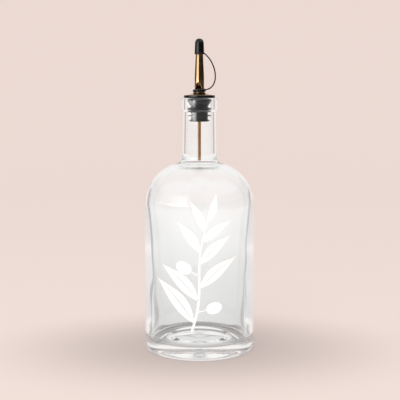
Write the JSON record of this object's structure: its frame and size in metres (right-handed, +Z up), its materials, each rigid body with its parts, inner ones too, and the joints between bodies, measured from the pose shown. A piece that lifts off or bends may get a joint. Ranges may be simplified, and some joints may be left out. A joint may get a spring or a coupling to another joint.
{
  "type": "glass oil bottle with pourer",
  "caption": "Empty clear glass oil bottle with a round shoulder, a finned rubber stopper, a tapered brass spout with an air tube, and a tethered dust cap.",
  "frame": {"origin": "centre of the base, on the surface the bottle stands on", "axes": "+Z up along the bottle's axis; -Y is the front, where the spout's vent and the print are; +X is the side of the dust cap's tether"},
  "size_m": [0.088, 0.088, 0.2491],
  "materials": {
    "clear_glass": "polished",
    "black_rubber": "semi-gloss",
    "brass": "polished",
    "white_ink": "satin"
  },
  "bodies": {
    "root": {"bottle": "clear_glass", "stopper": "black_rubber", "washer": "brass", "spout": "brass", "air_tube": "brass", "dust_cap": "black_rubber"}
  },
  "joints": []
}
